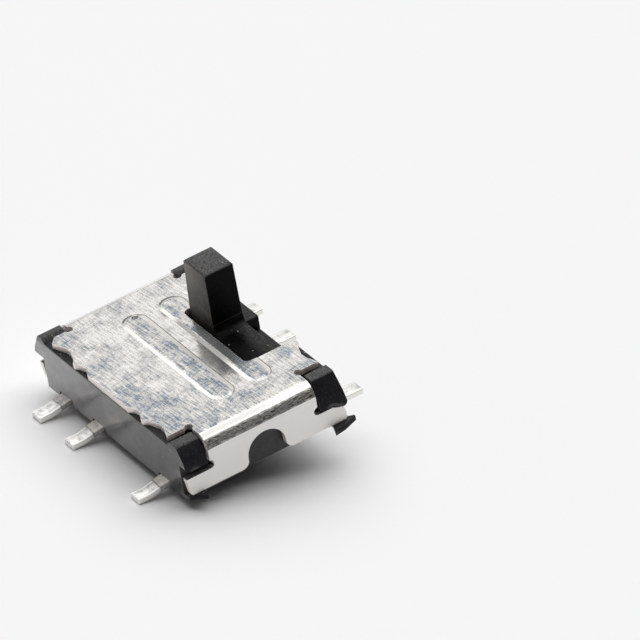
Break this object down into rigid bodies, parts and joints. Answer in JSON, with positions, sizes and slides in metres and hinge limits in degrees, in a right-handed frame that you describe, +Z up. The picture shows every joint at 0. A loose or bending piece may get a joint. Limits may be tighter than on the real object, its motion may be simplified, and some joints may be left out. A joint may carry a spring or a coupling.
{
  "type": "slide switch",
  "caption": "Miniature surface-mount slide switch: black housing, bent sheet-metal cover, upright lever in a side window, joggled solder pins and locating pegs below.",
  "frame": {"origin": "on the plane of the housing's underside, midway between the two locating pegs", "axes": "+X along the slide towards the end with one pin a side, +Y across it towards the lever side, +Z up, away from the circuit board"},
  "size_m": [0.0071, 0.0065, 0.0037],
  "materials": {
    "black_housing": "moulded, slightly glossy, fine speckle",
    "black_slider": "moulded, semi-gloss",
    "tinned_sheet": "bright tin plate with fine lengthways brushing and light scuffs",
    "tinned_terminal": "bright tin plate, mottled",
    "contact_alloy": "plain spring alloy"
  },
  "bodies": {
    "base": {"housing": "black_housing", "cover": "tinned_sheet", "terminal_left_1": "tinned_terminal", "terminal_left_2": "tinned_terminal", "terminal_left_3": "tinned_terminal", "terminal_right_1": "tinned_terminal", "terminal_right_2": "tinned_terminal", "terminal_right_3": "tinned_terminal"},
    "slider": {"slider": "black_slider", "contact_clip_left": "contact_alloy", "contact_clip_right": "contact_alloy"}
  },
  "joints": [
    {"name": "lever_slide", "type": "slide", "parent": "base", "child": "slider", "axis": [1, 0, 0], "range_m": [0, 0.0015]}
  ]
}
